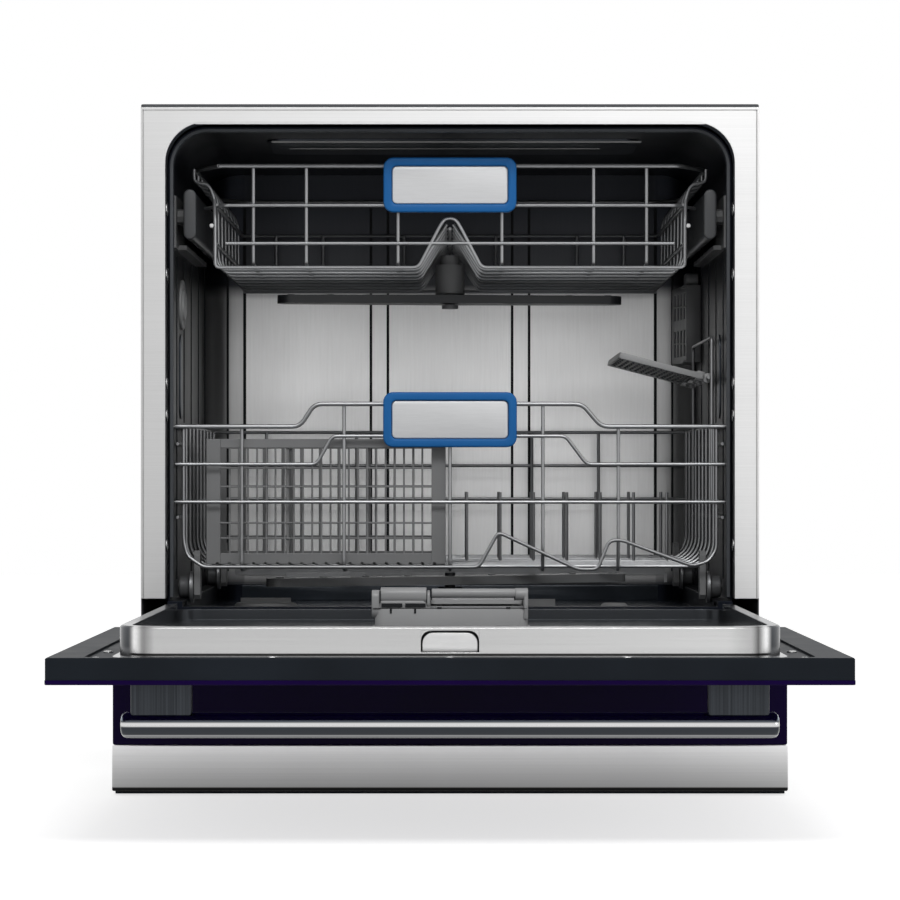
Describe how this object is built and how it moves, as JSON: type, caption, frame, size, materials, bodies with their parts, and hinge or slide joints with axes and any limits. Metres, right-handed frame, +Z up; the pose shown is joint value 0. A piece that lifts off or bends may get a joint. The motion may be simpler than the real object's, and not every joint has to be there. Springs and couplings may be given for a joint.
{
  "type": "dishwasher",
  "caption": "Compact built-in dishwasher with drop-down door, sliding upper and lower racks, cutlery basket, cup shelf, folding tines and rotating spray arms.",
  "frame": {"origin": "on the floor, at mid-width, in the plane of the cabinet's front frame", "axes": "+X to the right seen from the front, +Y into the cabinet, +Z up; the open door lies towards -Y"},
  "size_m": [0.595, 0.944, 0.609],
  "materials": {
    "brushed_frame": "brushed",
    "stainless": "satin",
    "painted_dark": "satin",
    "galvanised": "matt",
    "chrome_bar": "polished",
    "dark_steel": "brushed",
    "door_colour_glass": "polished",
    "navy_plastic": "satin",
    "gasket_rubber": "matt",
    "grey_plastic": "satin",
    "light_grey_plastic": "satin",
    "charcoal_plastic": "satin",
    "inner_plastic": "matt",
    "rack_wire": "satin",
    "rail_steel": "satin",
    "handle_blue": "gloss",
    "handle_silver": "satin",
    "circuit_green": "gloss"
  },
  "bodies": {
    "cabinet": {"base_tray": "navy_plastic", "levelling_feet": "navy_plastic", "tub": "stainless", "front_frame": "brushed_frame", "top_cover": "painted_dark", "side_panels": "painted_dark", "rear_panel": "galvanised", "tub_gasket": "gasket_rubber", "fascia_glass": "door_colour_glass", "kick_strip": "stainless", "fascia_carrier": "navy_plastic", "hinge_brackets": "painted_dark", "hinge_pins": "chrome_bar", "sump": "charcoal_plastic", "wash_pump": "charcoal_plastic", "drain_pump": "charcoal_plastic", "inlet_valve": "inner_plastic", "water_softener": "inner_plastic", "air_break": "inner_plastic", "air_break_cap": "grey_plastic", "vent_grille": "grey_plastic", "riser_pipe": "inner_plastic", "filter_plate": "stainless", "roller_mounts": "grey_plastic"},
    "door": {"door_frame": "navy_plastic", "door_glass": "door_colour_glass", "door_liner": "stainless", "handle_bar": "chrome_bar", "handle_posts": "dark_steel", "liner_screws": "stainless", "dispenser_body": "grey_plastic", "control_board": "circuit_green", "hinge_arms": "painted_dark", "latch_housing": "navy_plastic"},
    "upper_rack": {"upper_rack_wires": "rack_wire", "upper_handle_frame": "handle_blue", "upper_handle_plate": "handle_silver", "upper_rack_rails": "rail_steel", "rail_caps": "charcoal_plastic", "feed_tube": "grey_plastic"},
    "lower_rack": {"lower_rack_wires": "rack_wire", "lower_handle_frame": "handle_blue", "lower_handle_plate": "handle_silver", "wheel_clips": "grey_plastic"},
    "overflow_float": {"overflow_float": "grey_plastic"},
    "filter_cup": {"filter_cup": "grey_plastic"},
    "salt_cap": {"salt_cap": "grey_plastic"},
    "lower_spray_arm": {"lower_spray_arm": "charcoal_plastic"},
    "upper_spray_arm": {"upper_spray_arm": "charcoal_plastic"},
    "front_wall_rollers": {"front_wall_rollers": "grey_plastic"},
    "rear_wall_rollers": {"rear_wall_rollers": "grey_plastic"},
    "detergent_lid": {"detergent_lid": "light_grey_plastic"},
    "rinse_cap": {"rinse_cap": "grey_plastic"},
    "latch_bolt": {"latch_bolt": "light_grey_plastic"},
    "front_wheels": {"front_wheels": "grey_plastic"},
    "rear_wheels": {"rear_wheels": "grey_plastic"},
    "cutlery_basket": {"cutlery_basket": "grey_plastic"},
    "cup_shelf": {"cup_shelf": "grey_plastic"},
    "front_tines": {"front_tines": "rack_wire"},
    "rear_tines": {"rear_tines": "rack_wire"}
  },
  "joints": [
    {"name": "door_hinge", "type": "hinge", "parent": "cabinet", "child": "door", "pos_m": [0, -0.008, 0.1406], "axis": [1, 0, 0], "range_deg": [-90, 0]},
    {"name": "upper_rack_slide", "type": "slide", "parent": "cabinet", "child": "upper_rack", "axis": [0, -1, 0], "range_m": [0, 0.27]},
    {"name": "lower_rack_slide", "type": "slide", "parent": "cabinet", "child": "lower_rack", "axis": [0, -1, 0], "range_m": [0, 0.36]},
    {"name": "float_lift", "type": "slide", "parent": "cabinet", "child": "overflow_float", "axis": [0, 0, 1], "range_m": [0, 0.01]},
    {"name": "filter_twist", "type": "hinge", "parent": "cabinet", "child": "filter_cup", "pos_m": [0.07, 0.15, 0.1532], "axis": [0, 0, 1], "range_deg": [0, 90]},
    {"name": "salt_cap_turn", "type": "hinge", "parent": "cabinet", "child": "salt_cap", "pos_m": [-0.17, 0.12, 0.156], "axis": [0, 0, 1], "continuous": true},
    {"name": "lower_arm_spin", "type": "hinge", "parent": "cabinet", "child": "lower_spray_arm", "pos_m": [0, 0.245, 0.18], "axis": [0, 0, 1], "continuous": true},
    {"name": "upper_arm_spin", "type": "hinge", "parent": "upper_rack", "child": "upper_spray_arm", "pos_m": [0, 0.245, 0.45], "axis": [0, 0, 1], "continuous": true},
    {"name": "front_wall_roller_spin", "type": "hinge", "parent": "cabinet", "child": "front_wall_rollers", "pos_m": [0, 0.072, 0.515], "axis": [1, 0, 0], "continuous": true},
    {"name": "rear_wall_roller_spin", "type": "hinge", "parent": "cabinet", "child": "rear_wall_rollers", "pos_m": [0, 0.126, 0.515], "axis": [1, 0, 0], "continuous": true},
    {"name": "detergent_lid_slide", "type": "slide", "parent": "door", "child": "detergent_lid", "axis": [0, -1, 0], "range_m": [0, 0.044]},
    {"name": "rinse_cap_turn", "type": "hinge", "parent": "door", "child": "rinse_cap", "pos_m": [-0.0385, -0.23, 0.181], "axis": [0, 0, 1], "range_deg": [0, 90]},
    {"name": "latch_bolt_slide", "type": "slide", "parent": "door", "child": "latch_bolt", "axis": [0, -1, 0], "range_m": [0, 0.006], "stiffness_N_per_m": 80},
    {"name": "front_wheel_spin", "type": "hinge", "parent": "lower_rack", "child": "front_wheels", "pos_m": [0, 0.07, 0.1795], "axis": [1, 0, 0], "continuous": true},
    {"name": "rear_wheel_spin", "type": "hinge", "parent": "lower_rack", "child": "rear_wheels", "pos_m": [0, 0.4, 0.1795], "axis": [1, 0, 0], "continuous": true},
    {"name": "basket_lift", "type": "slide", "parent": "lower_rack", "child": "cutlery_basket", "axis": [0, 0, 1], "range_m": [0, 0.12]},
    {"name": "cup_shelf_fold", "type": "hinge", "parent": "lower_rack", "child": "cup_shelf", "pos_m": [0.2363, 0.2, 0.37], "axis": [0, 1, 0], "range_deg": [0, 58]},
    {"name": "front_tines_fold", "type": "hinge", "parent": "lower_rack", "child": "front_tines", "pos_m": [0.112, 0.232, 0.1984], "axis": [1, 0, 0], "range_deg": [0, 80]},
    {"name": "rear_tines_fold", "type": "hinge", "parent": "lower_rack", "child": "rear_tines", "pos_m": [0.112, 0.318, 0.1984], "axis": [1, 0, 0], "range_deg": [0, 80]}
  ],
  "couplings": [
    {"joint": "front_wheel_spin", "follows": "lower_rack_slide", "rad_per_m": 98.039},
    {"joint": "rear_wheel_spin", "follows": "lower_rack_slide", "rad_per_m": 98.039},
    {"joint": "front_wall_roller_spin", "follows": "upper_rack_slide", "rad_per_m": 50.761},
    {"joint": "rear_wall_roller_spin", "follows": "upper_rack_slide", "rad_per_m": 50.761}
  ]
}
